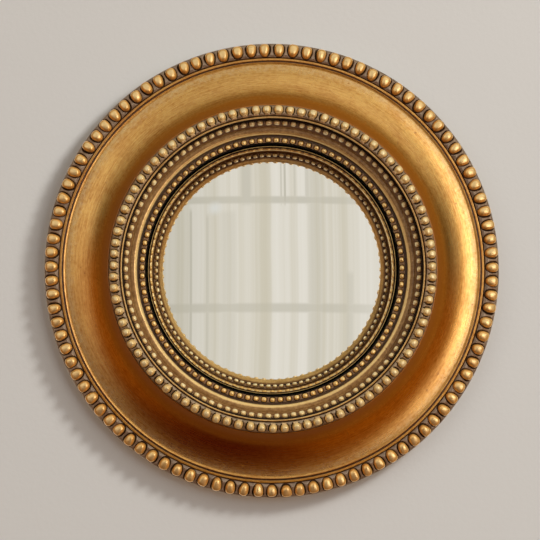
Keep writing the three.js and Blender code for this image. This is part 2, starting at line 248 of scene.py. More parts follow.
def vectorCalc(tree, operation, *values):
    output = "Value" if operation in ("DOT_PRODUCT", "LENGTH") else 0
    return wired(tree, "ShaderNodeVectorMath", dict(enumerate(values)), output, operation=operation)


def scaled(tree, vector, factor):
    return wired(tree, "ShaderNodeVectorMath", {0: vector, "Scale": factor}, operation="SCALE")


def apart(tree, vector):
    return feedAll(tree, add(tree, "ShaderNodeSeparateXYZ"), {0: vector}).outputs


def together(tree, x=0.0, y=0.0, z=0.0):
    return wired(tree, "ShaderNodeCombineXYZ", {0: x, 1: y, 2: z})


def ramp(tree, value, low, high, toLow=0.0, toHigh=1.0):
    inputs = {"Value": value, "From Min": low, "From Max": high, "To Min": toLow, "To Max": toHigh}
    return wired(tree, "ShaderNodeMapRange", inputs, "Result", interpolation_type="SMOOTHSTEP")


def mixColour(tree, share, a, b, blend="MIX"):
    return wired(tree, "ShaderNodeMix", {0: share, 6: a, 7: b}, 2, data_type="RGBA", blend_type=blend)


def noise(tree, spot, scale, detail=3.0, roughness=0.5, dimensions="3D", output=0):
    inputs = {"W" if dimensions == "1D" else "Vector": spot}
    inputs.update({"Scale": scale, "Detail": detail, "Roughness": roughness})
    return wired(tree, "ShaderNodeTexNoise", inputs, output, noise_dimensions=dimensions)


def colour(r, g, b):
    return (r, g, b, 1)


def newMaterial(name):
    material = bpy.data.materials.new(name)
    material.use_nodes = True
    tree = material.node_tree
    tree.nodes.clear()
    shader = add(tree, "ShaderNodeBsdfPrincipled")
    feed(tree, add(tree, "ShaderNodeOutputMaterial").inputs[0], shader.outputs[0])
    return material, tree, shader


def bump(tree, shader, height, distance, strength=1.0):
    inputs = {"Strength": strength, "Distance": distance, "Height": height}
    feed(tree, shader.inputs["Normal"], wired(tree, "ShaderNodeBump", inputs))


room = {
    "pale": colour(0.80, 0.81, 0.80),
    "glow": colour(0.98, 0.97, 0.93),
    "glowStrength": 0.66,
    "key": colour(1.0, 0.98, 0.93),
    "keyStrength": 2.7,
    "keyRight": 0.43,             # where the tall window stands, as a share of a unit direction
    "fillStrength": 0.47,
    "fillDirection": (-34, 7),    # degrees right of the mirror's axis and up
    "floor": colour(0.045, 0.0015, 0.0003),
    "floorLit": colour(0.27, 0.095, 0.002),
    "overhead": colour(0.80, 0.60, 0.27),
    "behind": colour(0.22, 0.15, 0.07),
    "backLight": colour(0.88, 0.87, 0.84),
}

curtain = {
    "cloth": colour(0.64, 0.585, 0.465),
    "bright": colour(0.84, 0.795, 0.725),
    "barColour": colour(0.46, 0.43, 0.345),
    "wander": 0.022,              # how far the folds stray sideways
    "folds": (9.0, 1.2, 0.45),    # scale, detail and roughness
    "weave": (52.0, 2.0, 0.5),
    "foldShare": 0.78,
    "spot": (-0.306, -0.896, 0.319),    # slope at which a pale patch shows
    # the axis that a bar lies across, its middle and half width there, strength, and both ends
    "bars": (
        ("z", 0.362, 0.018, 0.55, -0.7, 0.7), ("z", -0.208, 0.022, 0.5, -0.7, 0.7),
        ("x", -0.141, 0.025, 0.55, 0.32, 0.7), ("x", 0.406, 0.017, 0.4, -0.45, 0.0),
        ("x", -0.431, 0.006, 0.6, -0.50, 0.33), ("x", -0.345, 0.007, 0.4, -0.6, 0.30),
        ("x", 0.043, 0.004, 0.5, 0.32, 0.7), ("x", 0.063, 0.005, 0.7, 0.32, 0.7),
        ("x", 0.115, 0.005, 0.4, 0.32, 0.7), ("x", 0.180, 0.010, 0.4, 0.32, 0.7),
        ("x", 0.222, 0.034, 0.32, -0.7, 0.7), ("x", -0.235, 0.036, 0.22, -0.7, 0.32),
    ),
}


def roomLight(tree, direction, right, depth, up):
    # the room as satin metal sees it: dark floor, soft upper glow, a large window to the right
    aboveFloor = ramp(tree, plus(tree, up, times(tree, right, 0.10)), -0.05, 0.17)
    sideways = ramp(tree, distance(tree, right, -0.20), 0.12, 0.72)
    floor = mixColour(tree, sideways, room["floor"], room["floorLit"])
    inFront = ramp(tree, depth, -0.22, -0.88, 0.08, 0.76)
    overhead = times(tree, ramp(tree, up, 0.20, 0.62), ramp(tree, depth, 0.12, -0.55))
    glow = mixColour(tree, ramp(tree, depth, -0.62, -0.10), room["glow"], room["overhead"])
    brighter = ramp(tree, right, -0.45, 0.70, 0.84, 1.34)
    share = times(tree, calc(tree, "MAXIMUM", inFront, overhead), room["glowStrength"], brighter)
    seen = mixColour(tree, aboveFloor, floor, mixColour(tree, 1, glow, share, "MULTIPLY"))
    beside = ramp(tree, distance(tree, right, room["keyRight"]), 0.26, 0.07)
    along = ramp(tree, distance(tree, up, 0.02), 0.46, 0.0)
    window = times(tree, beside, along, ramp(tree, depth, -0.3, -0.6), room["keyStrength"])
    aside, above = (math.radians(v) for v in room["fillDirection"])
    towards = (math.sin(aside) * math.cos(above), -math.cos(aside) * math.cos(above), math.sin(above))
    near = vectorCalc(tree, "DOT_PRODUCT", direction, towards)
    window = plus(tree, window, ramp(tree, near, 0.86, 0.99, 0.0, room["fillStrength"]))
    seen = mixColour(tree, 1, seen, mixColour(tree, 1, room["key"], window, "MULTIPLY"), "ADD")
    return mixColour(tree, ramp(tree, depth, -0.15, 0.20), seen, room["behind"])


def curtainPicture(tree, direction, toCamera):
    # the curtained window as the glass sees it, laid out by the slope of a dome that would show it there
    slope = vectorCalc(tree, "NORMALIZE", vectorCalc(tree, "ADD", direction, tuple(toCamera)))
    across = apart(tree, slope)
    x, z = across[0], across[2]
    strayed = plus(tree, x, times(tree, noise(tree, slope, 1.6, 1.0), curtain["wander"]))
    folds, weave = (noise(tree, strayed, *curtain[kind], "1D") for kind in ("folds", "weave"))
    share = curtain["foldShare"]
    cloth = plus(tree, times(tree, folds, share), times(tree, weave, 1 - share))
    drapes = mixColour(tree, ramp(tree, cloth, 0.22, 0.72), curtain["cloth"], curtain["bright"])
    bars = 0.0
    for axis, centre, half, strength, low, high in curtain["bars"]:
        value, other = (z, x) if axis == "z" else (x, z)
        bar = ramp(tree, distance(tree, value, centre), half * 1.5, half * 0.6, 0.0, strength)
        middle, reach = (low + high) / 2, (high - low) / 2
        within = ramp(tree, distance(tree, other, middle), reach, reach - 0.04)
        bars = calc(tree, "MAXIMUM", bars, times(tree, bar, within))
    bars = times(tree, bars, ramp(tree, cloth, 0.3, 0.7, 0.5, 1.0))
    drapes = mixColour(tree, bars, drapes, curtain["barColour"])
    drapes = mixColour(tree, ramp(tree, x, -0.18, -0.56, 0, 0.45), drapes, curtain["barColour"])
    drapes = mixColour(tree, ramp(tree, x, 0.30, 0.60, 0, 0.5), drapes, curtain["bright"])
    toSpot = vectorCalc(tree, "LENGTH", vectorCalc(tree, "SUBTRACT", slope, curtain["spot"]))
    return mixColour(tree, ramp(tree, toSpot, 0.055, 0.0, 0.0, 0.6), drapes, room["pale"])


def makeWorld(toCamera):
    world = bpy.data.worlds.new("room")
    scene.world = world
    world.use_nodes = True
    tree = world.node_tree
    tree.nodes.clear()
    direction = add(tree, "ShaderNodeTexCoord").outputs["Generated"]
    right, depth, up = apart(tree, direction)
    rays = add(tree, "ShaderNodeLightPath").outputs
    toBack = times(tree, rays["Is Diffuse Ray"], ramp(tree, depth, 0.05, 0.30))
    toBack = calc(tree, "MAXIMUM", toBack, ramp(tree, depth, 0.40, 0.62))
    seen = mixColour(tree, toBack, roomLight(tree, direction, right, depth, up), room["backLight"])
    seen = mixColour(tree, rays["Is Singular Ray"], seen, curtainPicture(tree, direction, toCamera))
    seen = mixColour(tree, rays["Is Camera Ray"], seen, room["pale"])
    shade = wired(tree, "ShaderNodeBackground", {0: seen})
    feed(tree, add(tree, "ShaderNodeOutputWorld").inputs[0], shade)


wall = {"size": 9.0, "y": 0.0004, "tone": colour(0.70, 0.71, 0.70)}    # size and y in metres
lamp = {"power": 66, "size": 0.8, "place": (2.2, -2.1, 1.5), "colour": (1.0, 0.97, 0.93)}


def makeWall():
    # a pale wall seen from the front only, so that the back can be looked at through it
    half, y = wall["size"] / 2, wall["y"]
    mesh = bpy.data.meshes.new("wall")
    spots = [(-half, y, -half), (half, y, -half), (half, y, half), (-half, y, half)]
    mesh.from_pydata(spots, [], [(0, 1, 2, 3)])
    material, tree, paint = newMaterial("wallPaint")
    feedAll(tree, paint, {"Base Color": wall["tone"], "Roughness": 0.9, "Specular IOR Level": 0.2})
    point = add(tree, "ShaderNodeTexCoord").outputs["Object"]
    bump(tree, paint, noise(tree, point, 260, 3), 0.001, 0.12)
    turnedAway = add(tree, "ShaderNodeNewGeometry").outputs["Backfacing"]
    through = add(tree, "ShaderNodeBsdfTransparent").outputs[0]
    either = wired(tree, "ShaderNodeMixShader", {0: turnedAway, 1: paint.outputs[0], 2: through})
    feed(tree, tree.nodes["Material Output"].inputs[0], either)
    backdrop = newPiece("wall", mesh, material)
    for ray in ("diffuse", "glossy", "transmission", "shadow"):
        setattr(backdrop, f"visible_{ray}", False)


def makeLamp():
    data = bpy.data.lights.new("softbox", "AREA")
    data.shape = "DISK"
    data.size = lamp["size"]
    data.energy = lamp["power"]
    data.color = lamp["colour"]
    softbox = bpy.data.objects.new("softbox", data)
    scene.collection.objects.link(softbox)
    softbox.location = lamp["place"]
    aim = Vector((0, 0, axisZ)) - softbox.location
    softbox.rotation_euler = aim.to_track_quat("-Z", "Y").to_euler()
    softbox.visible_glossy = False


toCamera = makeCamera()
makeWorld(toCamera)
makeWall()
makeLamp()
print("stage ready")


# shared effects

socketKinds = {float: "Float", int: "Int", tuple: "Color"}


def newTree(kind, name, inputs, outputs):
    # each input is given as its default value, or as the name of its kind where it has none
    tree = bpy.data.node_groups.new(name, f"{kind}NodeTree")
    for title, value in inputs.items():
        named = isinstance(value, str)
        socketKind = value if named else socketKinds[type(value)]
        socket = tree.interface.new_socket(title, in_out="INPUT", socket_type=f"NodeSocket{socketKind}")
        if not named:
            socket.default_value = value
    for title, socketKind in outputs.items():
        tree.interface.new_socket(title, in_out="OUTPUT", socket_type=f"NodeSocket{socketKind}")
    return tree, add(tree, "NodeGroupInput").outputs, add(tree, "NodeGroupOutput").inputs


def useGroup(tree, group, inputs):
    return feedAll(tree, add(tree, "ShaderNodeGroup", node_tree=group), inputs).outputs


def axisPoint(tree):
    # object coordinates with the mirror's axis through zero
    point = add(tree, "ShaderNodeTexCoord").outputs["Object"]
    return vectorCalc(tree, "SUBTRACT", point, (0, backY, axisZ))


def makeTurnedGrain():
    # streaks that run round the mirror's axis, without a seam
    tree, given, wanted = newTree(
        "Shader", "turnedGrain", {"Along": 3.0, "Across": 900.0, "Detail": 4.0}, {"Streaks": "Float"})
    point = axisPoint(tree)
    flat = vectorCalc(tree, "MULTIPLY", point, (1, 0, 1))
    outwards = vectorCalc(tree, "LENGTH", flat)
    across = times(tree, plus(tree, outwards, apart(tree, point)[1]), given["Across"])
    ring = scaled(tree, vectorCalc(tree, "NORMALIZE", flat), given["Along"])
    spot = vectorCalc(tree, "ADD", ring, together(tree, y=across))
    feed(tree, wanted[0], noise(tree, spot, 1.0, given["Detail"], 0.6))
    return tree


def makeGilding(grain):
    # metal leaf under a brown glaze. Recess runs from -1, worn pale, over 0, plain leaf,
    # and 1, full glaze, to 2, black grime. The pale end is also painted highlight, the dark end painted shade
    tree, given, wanted = newTree("Shader", "agedGilding", {
        "Leaf": colour(0.8, 0.5, 0.16),
        "Deep Leaf": colour(0.6, 0.3, 0.06),
        "Rubbed Leaf": colour(0.9, 0.7, 0.4),
        "Glaze": colour(0.10, 0.045, 0.015),
        "Dirt": colour(0.026, 0.013, 0.006),
        "Recess": 0.0, "Mottle": 0.5, "Streak": 0.5, "Pits": 0.5, "Smooth": 0.34, "Metal Share": 1.0,
    }, {"Colour": "Color", "Metal": "Float", "Roughness": "Float", "Height": "Float"})
    recess, mottle, streak = given["Recess"], given["Mottle"], given["Streak"]
    point = axisPoint(tree)
    streaks = useGroup(tree, grain, {"Along": 5.0, "Across": 1150.0, "Detail": 4.0})["Streaks"]
    dashes = useGroup(tree, grain, {"Along": 34.0, "Across": 620.0, "Detail": 3.0})["Streaks"]
    clouds = noise(tree, point, 55.0, 4.0, 0.6)
    spots = noise(tree, point, 420.0, 3.0, 0.6)
    grit = noise(tree, point, 1500.0, 2.0, 0.5)

    # leaf: bright and deep gold mixed in clouds, streaks and dashes
    cloudy = times(tree, ramp(tree, clouds, 0.38, 0.66), mottle)
    streaky = times(tree, ramp(tree, streaks, 0.42, 0.68), streak)
    worn = times(tree, ramp(tree, spots, 0.44, 0.70), mottle)
    dashed = sway(tree, dashes, times(tree, streak, 2.2))
    tone = plus(tree, times(tree, cloudy, 0.6), times(tree, streaky, 0.6), times(tree, worn, 0.35))
    tone = plus(tree, tone, dashed)
    tone = calc(tree, "MAXIMUM", calc(tree, "MINIMUM", tone, 1.0), 0.0)
    leaf = mixColour(tree, tone, given["Leaf"], given["Deep Leaf"])
    # worn pale leaf, which is also painted highlight where the mask is set below zero for it
    wornPaleAndSheen = ramp(tree, plus(tree, recess, sway(tree, spots, 0.8)), -0.1, -1.0)
    leaf = mixColour(tree, wornPaleAndSheen, leaf, given["Rubbed Leaf"])

    # glaze: recess mask with a ragged edge
    ragged = sway(tree, spots, 0.5)
    edge = plus(tree, recess, plus(tree, ragged, sway(tree, streaks, 0.35)))
    pits = times(tree, ramp(tree, noise(tree, point, 330.0, 0.0), 0.80, 0.84), given["Pits"])
    cover = calc(tree, "MINIMUM", plus(tree, ramp(tree, edge, 0.18, 0.92), pits), 1.0)
    tinted = mixColour(tree, cover, leaf, given["Glaze"])
    # black grime, which is also painted shade in creases, grooves and at the beads' feet
    dirtAndShade = ramp(tree, plus(tree, recess, ragged), 1.05, 1.9)
    feed(tree, wanted["Colour"], mixColour(tree, dirtAndShade, tinted, given["Dirt"]))
    metal = times(tree, ramp(tree, cover, 0.25, 1.0, 1.0, 0.75), given["Metal Share"])
    feed(tree, wanted["Metal"], metal)
    rough = plus(tree, given["Smooth"], sway(tree, streaks, 0.16), sway(tree, clouds, 0.12))
    feed(tree, wanted["Roughness"], plus(tree, rough, times(tree, cover, 0.24)))
    high = plus(tree, sway(tree, streaks, streak), times(tree, spots, times(tree, mottle, 0.7)))
    high = plus(tree, high, times(tree, grit, 0.12))
    feed(tree, wanted["Height"], calc(tree, "SUBTRACT", high, times(tree, pits, 1.2)))
    return tree


turnedGrain = makeTurnedGrain()
agedGilding = makeGilding(turnedGrain)


# materials


giltInputs = (
    "Leaf", "Deep Leaf", "Rubbed Leaf", "Glaze", "Mottle", "Streak", "Pits", "Smooth", "Metal Share",
)
gilding = {
    # the inputs above, coat, and bump in metres
    "coveGilt": ((0.90, 0.49, 0.100), (0.62, 0.24, 0.012), (0.95, 0.69, 0.34), (0.50, 0.17, 0.002),
                 0.55, 0.95, 0.5, 0.29, 1.0, 0.8, 0.00006),
    "collarGilt": ((0.98, 0.63, 0.23), (0.66, 0.36, 0.095), (1.0, 0.73, 0.30), (0.25, 0.115, 0.028),
                   0.7, 0.7, 0.4, 0.33, 0.64, 0.35, 0.00008),
    "rimBeadGilt": ((1.0, 0.57, 0.15), (0.96, 0.47, 0.085), (1.0, 0.70, 0.29), (0.34, 0.13, 0.014),
                    0.7, 0.1, 0.3, 0.31, 0.66, 0.6, 0.00014),
    "rimWeb": ((0.46, 0.35, 0.25), (0.28, 0.20, 0.14), (0.92, 0.50, 0.13), (0.10, 0.045, 0.016),
               0.8, 0.2, 0.3, 0.55, 0.8, 0.0, 0.00012),
    "collarBeadGilt": ((1.0, 0.72, 0.29), (0.98, 0.60, 0.19), (1.0, 0.82, 0.44), (0.46, 0.23, 0.045),
                       0.7, 0.1, 0.3, 0.34, 0.5, 0.6, 0.00012),
    "collarWeb": ((0.54, 0.41, 0.27), (0.33, 0.23, 0.14), (0.90, 0.66, 0.36), (0.085, 0.040, 0.016),
                  0.8, 0.2, 0.3, 0.55, 0.8, 0.0, 0.00010),
    "innerWeb": ((0.34, 0.20, 0.10), (0.18, 0.09, 0.035), (0.85, 0.60, 0.30), (0.030, 0.012, 0.004),
                 0.8, 0.2, 0.3, 0.55, 0.4, 0.0, 0.00010),
    "middleBeadGilt": ((1.0, 0.76, 0.34), (1.0, 0.66, 0.24), (1.0, 0.88, 0.50), (0.30, 0.13, 0.026),
                       0.6, 0.1, 0.3, 0.32, 0.45, 0.8, 0.00006),
    "sightBeadGilt": ((1.0, 0.62, 0.17), (0.95, 0.47, 0.085), (1.0, 0.73, 0.30), (0.20, 0.075, 0.014),
                      0.6, 0.1, 0.3, 0.32, 0.65, 0.5, 0.00006),
}


coat = {"roughness": 0.22, "ior": 1.75}


def makeGilt(name):
    *values, coating, relief = gilding[name]
    material, tree, shader = newMaterial(name)
    inputs = {title: colour(*v) if isinstance(v, tuple) else v for title, v in zip(giltInputs, values)}
    inputs["Recess"] = add(tree, "ShaderNodeAttribute", attribute_name="recess").outputs["Fac"]
    made = useGroup(tree, agedGilding, inputs)
    feedAll(tree, shader, {
        "Base Color": made["Colour"], "Metallic": made["Metal"], "Roughness": made["Roughness"],
        "Coat Weight": coating, "Coat Roughness": coat["roughness"], "Coat IOR": coat["ior"],
    })
    bump(tree, shader, made["Height"], relief)
    return material


mirrorGlass = {
    # edge is that band's colour: glass edge and painted shade
    "silver": colour(0.90, 0.91, 0.89), "edge": colour(0.05, 0.065, 0.05),
    "darkEdgeRamp": (0.1028, 0.1034),    # metres from the axis
}


def makeMirrorGlass():
    material, tree, shader = newMaterial("silveredGlass")
    # a dark green band at the edge: the glass's own edge, and painted shade for the shaded slip edge that the
    # glass would reflect there
    outwards = vectorCalc(tree, "LENGTH", vectorCalc(tree, "MULTIPLY", axisPoint(tree), (1, 0, 1)))
    bare = ramp(tree, outwards, *mirrorGlass["darkEdgeRamp"])
    tone = mixColour(tree, bare, mirrorGlass["silver"], mirrorGlass["edge"])
    feedAll(tree, shader, {"Base Color": tone, "Metallic": 1.0, "Roughness": 0.0})
    return material


plain = {
    # light tone, dark tone, grain scale, how it is stretched, roughness, bump in metres, metal
    "blackSlip": ((0.012, 0.011, 0.010), (0.005, 0.005, 0.005), 300, (1, 1, 1), 0.45, 0.00005, 0.0),
    "bareWood": ((0.50, 0.34, 0.19), (0.36, 0.22, 0.11), 30, (1, 6, 14), 0.72, 0.0001, 0.0),
    "sideGlaze": ((0.17, 0.085, 0.030), (0.075, 0.036, 0.014), 90, (1, 3, 1), 0.5, 0.0001, 0.0),
    "hardboard": ((0.23, 0.135, 0.075), (0.135, 0.075, 0.040), 420, (1, 1, 1), 0.8, 0.0001, 0.0),
    "plywood": ((0.56, 0.41, 0.25), (0.42, 0.28, 0.15), 60, (1, 26, 5), 0.7, 0.0001, 0.0),
    "felt": ((0.085, 0.085, 0.078), (0.035, 0.035, 0.032), 900, (1, 1, 1), 0.95, 0.0002, 0.0),
    "rubber": ((0.032, 0.031, 0.029), (0.018, 0.018, 0.017), 500, (1, 1, 1), 0.75, 0.00004, 0.0),
    "brass": ((0.72, 0.52, 0.22), (0.50, 0.34, 0.13), 160, (1, 1, 1), 0.34, 0.00003, 1.0),
    "steel": ((0.62, 0.60, 0.56), (0.40, 0.38, 0.35), 240, (1, 1, 1), 0.36, 0.00003, 1.0),
}


def makePlain(name):
    # two tones of one stuff, mixed by its grain
    light, dark, scale, stretch, roughness, relief, metal = plain[name]
    material, tree, shader = newMaterial(name)
    point = vectorCalc(tree, "MULTIPLY", axisPoint(tree), stretch)
    grain = noise(tree, point, scale, 4.0, 0.6)
    fine = noise(tree, point, scale * 4.5, 2.0, 0.5)
    both = plus(tree, times(tree, grain, 0.7), times(tree, fine, 0.3))
    feedAll(tree, shader, {
        "Base Color": mixColour(tree, ramp(tree, both, 0.36, 0.64), colour(*dark), colour(*light)),
        "Roughness": ramp(tree, both, 0.3, 0.7, roughness - 0.06, roughness + 0.06),
        "Metallic": metal,
    })
    bump(tree, shader, both, relief)
    return material


finishes = {name: makeGilt(name) for name in gilding}
finishes.update({name: makePlain(name) for name in plain})
finishes["silveredGlass"] = makeMirrorGlass()
print("materials ready")


# turned wood: sections are in (r, h)

cove = {
    "foot": [(128.4, 0.0), (186.886, 0.0), (187.886, 1.0)],
    "rimFillet": [(187.791, 6.6), (176.941, 10.21)],
    "crease": [(177.02, 12.0), (175.1, 12.1), (174.85, 11.1), (174.1, 11.1), (173.6, 12.92)],
    "start": (172.32, 12.6), "end": (136.92, 31.6), "startSlope": 3.0, "steps": 34,
    "rear": [(136.02, 31.6), (136.02, 30.3), (131.351, 30.3), (131.351, 9.0), (120.4, 9.0),
             (120.4, 2.6), (128.4, 2.6)],
    "softening": 0.35, "segments": 288,
}


def turnedPiece(name, section, look, slot, node, **shape):
    mesh = lathed(name, section, look["segments"], place, **shape)
    piece = newPiece(name, mesh, *(finishes[finish] for finish in look["finishes"]))
    settle(piece, "mirror", slot, node)


def coveCurve():
    outer, inner = Vector(cove["start"]), Vector(cove["end"])
    rise, width = inner.y - outer.y, outer.x - inner.x
    start = math.radians(cove["startSlope"])
    end = 2 * math.atan2(rise, width) - start
    radius = math.hypot(rise, width) / (2 * math.sin((end - start) / 2))
    centre = (outer.x + radius * math.sin(start), outer.y + radius * math.cos(start))
    angles = [start + (end - start) * i / cove["steps"] for i in range(cove["steps"] + 1)]
    return [(centre[0] - radius * math.sin(a), centre[1] - radius * math.cos(a)) for a in angles]


def coveRecess(r, h):
    if 173.7 < r < 175.0 and h < 11.9:
        return 1.65  # crease beside the rim fillet, black: grime and painted shade
    if r > 174.8:
        return 0.45 if h > 11.5 else 1.2
    if r > 172.2:
        return 0.45  # worn shoulder
    # glaze deepening towards the collar, patina and painted shade beside it; a worn pale band near the outer
    # edge, wear and painted highlight
    return 1.1 * softStep(r, 155.0, 136.0) - 0.42 * softStep(r, 160.0, 171.0)


def coveSurface(a, b):
    # 0 gilt, 1 bare wood, 2 glazed side
    if a[1] < 0.9 and b[1] < 0.9 or (a[0] < 136 and b[0] < 136):
        return 1
    return 2 if min(a[0], b[0]) > 186.5 else 0


def makeCoveRing():
    section = cove["foot"] + cove["rimFillet"] + cove["crease"] + coveCurve() + cove["rear"]
    look = {"segments": cove["segments"], "finishes": ("coveGilt", "bareWood", "sideGlaze")}
    turnedPiece("cove_ring_turned", softened(section, cove["softening"]), look, "gilt_wood", "cove_ring",
                closed=True, recess=coveRecess, surface=coveSurface)


collar = {
    "body": [(109.5, 6.0), (120.1, 6.0), (120.1, 9.3), (131.051, 9.3), (131.051, 30.6), (135.72, 30.6)],
    "crest": [(135.579, 33.807), (126.558, 37.636), (126.451, 38.995), (125.751, 39.595),
              (125.051, 38.995), (125.466, 31.687), (121.436, 25.361)],
    # half-round reed: its middle, half width and height, the degrees it runs between, and its fullness
    "reed": {"centre": (116.8, 17.789), "reach": (4.6, 4.8), "from": 65, "to": 180, "steps": 16,
             "full": 0.62},
    "sight": [(105.9, 17.789), (105.9, 16.489), (109.5, 13.27)],
    "softening": 0.3, "segments": 256, "finishes": ("collarGilt",),
}


def reedCurve():
    reed = collar["reed"]
    points = []
    for i in range(reed["steps"] + 1):
        a = math.radians(reed["from"] + (reed["to"] - reed["from"]) * i / reed["steps"])
        full = reed["full"] if a > math.pi / 2 else 1.0   # the inner shoulder is fuller than a circle
        r = reed["centre"][0] + reed["reach"][0] * signedPower(math.cos(a), full)
        points.append((r, reed["centre"][1] + reed["reach"][1] * math.sin(a) ** full))
    return points


def collarRecess(r, h):
    if r < 112.3 and h > 17.5:
        return 1.6   # seat and groove of the innermost beads, dark: grime and painted shade
    if r < 110:
        return -0.3  # sight edge
    if r < 113.4:
        return 1.5 - 2.4 * softStep(h, 19.6, 20.6)  # inner shoulder of the reed, worn bright: wear and painted highlight
    if r < 119.3:
        # the reed darkens under glaze towards its outer side: glaze and painted shade
        return -0.9 + 1.62 * softStep(r, 113.7, 115.1)
    if r > 125.0 and h > 39.2:
        return 0.35  # crest fillet
    if 125.0 < r < 125.5 and h > 32.5:
        return -0.6  # inner side of the crest
    # glaze elsewhere, also painted shade on the walls between crest, middle beads and reed
    return 1.3


def makeCollarRing():
    section = softened(collar["body"] + collar["crest"] + reedCurve() + collar["sight"], collar["softening"])
    turnedPiece("collar_ring_turned", section, collar, "gilt_wood", "collar_ring",
                closed=True, recess=collarRecess)


glass = {
    "curve": 160.0, "thickness": 3.0, "rim": 108.5, "centre": -105.576, "steps": (40, 16),
    "segments": 192, "finishes": ("silveredGlass",),
}


def makeGlass():
    outline = []
    for radius, steps in zip((glass["curve"], glass["curve"] - glass["thickness"]), glass["steps"]):
        half, centre = math.asin(glass["rim"] / radius), glass["centre"]
        angles = [half * i / steps for i in range(steps + 1)]
        dome = [(radius * math.sin(a), centre + radius * math.cos(a)) for a in angles]
        outline += dome[::-1] if outline else dome
    turnedPiece("convex_glass_dome", outline, glass, "silvered_glass", "convex_glass")


slip = {
    "section": [(109.2, 11.776), (109.2, 13.138), (104.9, 16.955), (104.9, 15.635)],
    "softening": 0.25, "segments": 192, "finishes": ("blackSlip",),
}


def makeSlip():
    section = softened(slip["section"], slip["softening"])
    turnedPiece("sight_slip_turned", section, slip, "black_slip", "sight_slip", closed=True)


board = {
    "section": [(0, 0), (127.6, 0.0), (128.1, 0.4), (128.1, 1.9), (127.6, 2.3), (0, 2.3)],
    "segments": 160, "finishes": ("hardboard",),
}


def makeBoard():
    turnedPiece("backing_board_disc", board["section"], board, "hardboard", "backing_board", smooth=False)


makeCoveRing()
makeCollarRing()
makeGlass()
makeSlip()
makeBoard()
print("turned pieces ready")


# bead mouldings

# seat is the strip's inner edge (r, h); middle and the start of the painted shade are counted from it, tilt in
# degrees.
# steps counts the strip's points for each bead, and those across the strip.
beadRows = {
    "rim": {
        "count": 99, "seat": (177.32, 10.4), "tilt": 18.4, "width": 12.4,
        "web": 3.3, "edge": 1.6, "floor": 1.3, "gap": 0.5, "waist": 2.4,
        "middle": 5.65, "length": 10.5, "beadWidth": 8.3, "top": 6.9,
        "taper": 0.15, "rise": 0.10, "square": 0.78,
        "around": 14, "levels": (22, 42, 60, 76, 90), "steps": 18,
        "wobble": 0.5, "foot": 0.0, "paintedShadeFrom": 20.0,
        "materials": ("rimBeadGilt", "rimWeb"), "slot": "rim_gilt",
    },
    "collar": {
        "count": 87, "seat": (126.951, 37.795), "tilt": 23.0, "width": 9.2,
        "web": 2.9, "edge": 1.3, "floor": 1.1, "gap": 0.42, "waist": 2.2,
        "middle": 4.1, "length": 6.9, "beadWidth": 6.9, "top": 7.0,
        "taper": 0.08, "rise": 0.0, "square": 0.74,
        "around": 12, "levels": (22, 42, 60, 76, 90), "steps": 16,
        "wobble": 0.45, "foot": 2.3, "paintedShadeFrom": 20.0,
        "materials": ("collarBeadGilt", "collarWeb"), "slot": "pale_gilt",
    },
    "middle": {
        "count": 110, "seat": (121.344, 25.775), "tilt": -57.5, "width": 6.9,
        "web": 0.9, "edge": 0.7, "floor": 0.35, "gap": 0.3, "waist": 0.9,
        "middle": 3.2, "length": 4.3, "beadWidth": 4.9, "top": 3.3, "taper": 0.0, "rise": 0.0, "square": 0.66,
        "around": 10, "levels": (26, 50, 72, 90), "steps": 12,
        "wobble": 0.24, "foot": 0.0, "paintedShadeFrom": 4.6,
        "materials": ("middleBeadGilt", "innerWeb"), "slot": "pale_gilt",
    },
    "sight": {
        "count": 99, "seat": (105.9, 18.089), "tilt": 0.0, "width": 4.4,
        "web": 0.7, "edge": 0.6, "floor": 0.3, "gap": 0.25, "waist": 0.8,
        "middle": 2.2, "length": 3.9, "beadWidth": 4.6, "top": 2.9, "taper": 0.0, "rise": 0.0, "square": 0.74,
        "around": 10, "levels": (26, 50, 72, 90), "steps": 12,
        "wobble": 0.20, "foot": 0.0, "paintedShadeFrom": 20.0,
        "materials": ("sightBeadGilt", "innerWeb"), "slot": "rim_gilt",
    },
}


def onSeat(row, s, t):
    # s is measured along the strip's seat from its inner edge, t off the seat
    a = math.radians(row["tilt"])
    r, h = row["seat"]
    return r + math.cos(a) * s + math.sin(a) * t, h - math.sin(a) * s + math.cos(a) * t


def onRing(row, s, t, turn):
    r, h = onSeat(row, s, t)
    return place(r, turn, h)


def beadOutline(row, angle):
    # the bead's outline on the strip: an egg with its broad end outwards, more or less squared
    x = signedPower(math.cos(angle), row["square"]) * row["length"] / 2
    y = signedPower(math.sin(angle), row["square"]) * row["beadWidth"] / 2
    return x, y * (1 + row["taper"] * x / (row["length"] / 2))


beadShape = {
    "crown": 0.55, "bulge": 0.74,    # how full the bead is at its top and its flanks
    "foot": 0.95, "sunk": 0.3,       # share of its width that its foot has, and mm that the foot is sunk
    "bare": -0.8, "buriedDirtAndShade": 2.0,       # recess of worn pale leaf, also painted highlight on bead tops, and of what lies buried, black grime and painted shade at the feet
    "jitter": 0.06,
}


